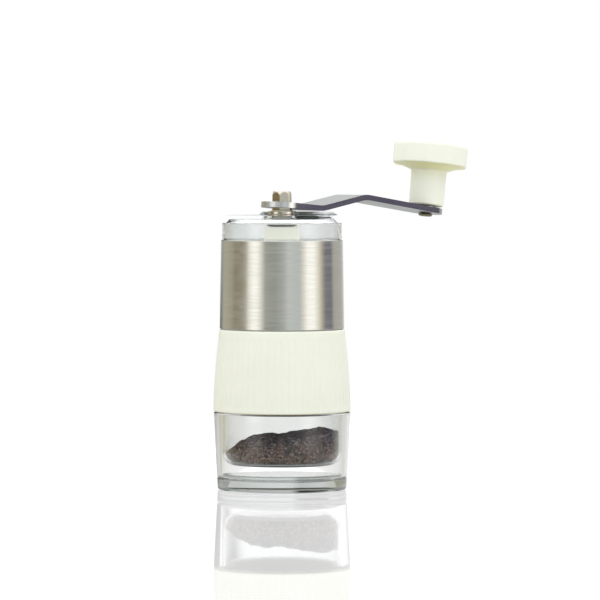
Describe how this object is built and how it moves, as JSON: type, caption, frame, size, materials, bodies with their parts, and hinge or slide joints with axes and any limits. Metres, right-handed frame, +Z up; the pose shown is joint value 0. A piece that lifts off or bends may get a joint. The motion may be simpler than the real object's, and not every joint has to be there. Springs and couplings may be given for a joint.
{
  "type": "hand crank coffee grinder",
  "caption": "Slim manual coffee grinder: clear jar, ribbed cream grip, brushed steel hopper sleeve, clear lid, bent crank arm and faceted knob.",
  "frame": {"origin": "centre of the jar's base, on the surface that the grinder stands on", "axes": "+Z up along the grinder's axis, +X along the crank arm from the shaft towards the knob"},
  "size_m": [0.1337, 0.055, 0.1401],
  "materials": {
    "clear_plastic": "clear, polished",
    "cream_plastic": "satin cream moulding",
    "grip_plastic": "satin cream moulding with fine upright ribs",
    "sleeve_steel": "brushed round the sleeve",
    "arm_steel": "satin strip with darker cut edges",
    "drive_steel": "turned and milled",
    "bright_steel": "bright",
    "dark_steel": "blackened",
    "bronze": "sintered",
    "ceramic": "fired, fine grained",
    "nylon": "moulded white",
    "silicone": "soft, translucent white"
  },
  "bodies": {
    "jar": {"jar_base": "clear_plastic", "jar_shell": "clear_plastic", "jar_cup": "clear_plastic"},
    "housing": {"hopper_body": "cream_plastic", "grip_sleeve": "grip_plastic", "steel_sleeve": "sleeve_steel", "jar_seal": "silicone", "top_bridge": "cream_plastic", "upper_bush": "dark_steel", "lower_bridge": "cream_plastic", "lower_bush": "bronze", "outer_burr": "ceramic", "burr_retainer": "bright_steel", "retainer_screw_1": "bright_steel", "retainer_screw_2": "bright_steel", "retainer_screw_3": "bright_steel"},
    "shaft": {"drive_shaft": "drive_steel", "thrust_washer": "dark_steel", "shaft_clip": "dark_steel", "spring_washer": "bright_steel", "burr_spring": "bright_steel"},
    "burr": {"inner_burr": "ceramic", "burr_hub": "nylon", "click_washer": "bright_steel"},
    "adjuster": {"adjusting_nut": "nylon"},
    "lid": {"lid": "clear_plastic"},
    "crank": {"crank_arm": "arm_steel", "knob_axle": "bright_steel", "axle_washer": "bright_steel", "axle_clip": "dark_steel"},
    "knob": {"knob": "cream_plastic", "knob_plug": "cream_plastic"}
  },
  "joints": [
    {"name": "housing_lift", "type": "slide", "parent": "jar", "child": "housing", "axis": [0, 0, 1], "range_m": [0, 0.05]},
    {"name": "shaft_turn", "type": "hinge", "parent": "housing", "child": "shaft", "pos_m": [0, 0, 0.1], "axis": [0, 0, 1], "continuous": true},
    {"name": "burr_slide", "type": "slide", "parent": "shaft", "child": "burr", "axis": [0, 0, -1], "range_m": [0, 0.001], "deforming": ["burr_spring"]},
    {"name": "grind_adjust", "type": "hinge", "parent": "burr", "child": "adjuster", "pos_m": [0, 0, 0.04], "axis": [0, 0, 1], "range_deg": [0, 360]},
    {"name": "crank_lift", "type": "slide", "parent": "shaft", "child": "crank", "axis": [0, 0, 1], "range_m": [0, 0.06]},
    {"name": "lid_lift", "type": "slide", "parent": "housing", "child": "lid", "axis": [0, 0, 1], "range_m": [0, 0.03]},
    {"name": "knob_spin", "type": "hinge", "parent": "crank", "child": "knob", "pos_m": [0.08705, 0, 0.11068], "axis": [0.1305, 0, 0.9914], "continuous": true}
  ],
  "couplings": [
    {"joint": "grind_adjust", "follows": "burr_slide", "rad_per_m": 6283.2},
    {"joint": "lid_lift", "follows": "crank_lift", "ratio": 0.5}
  ]
}
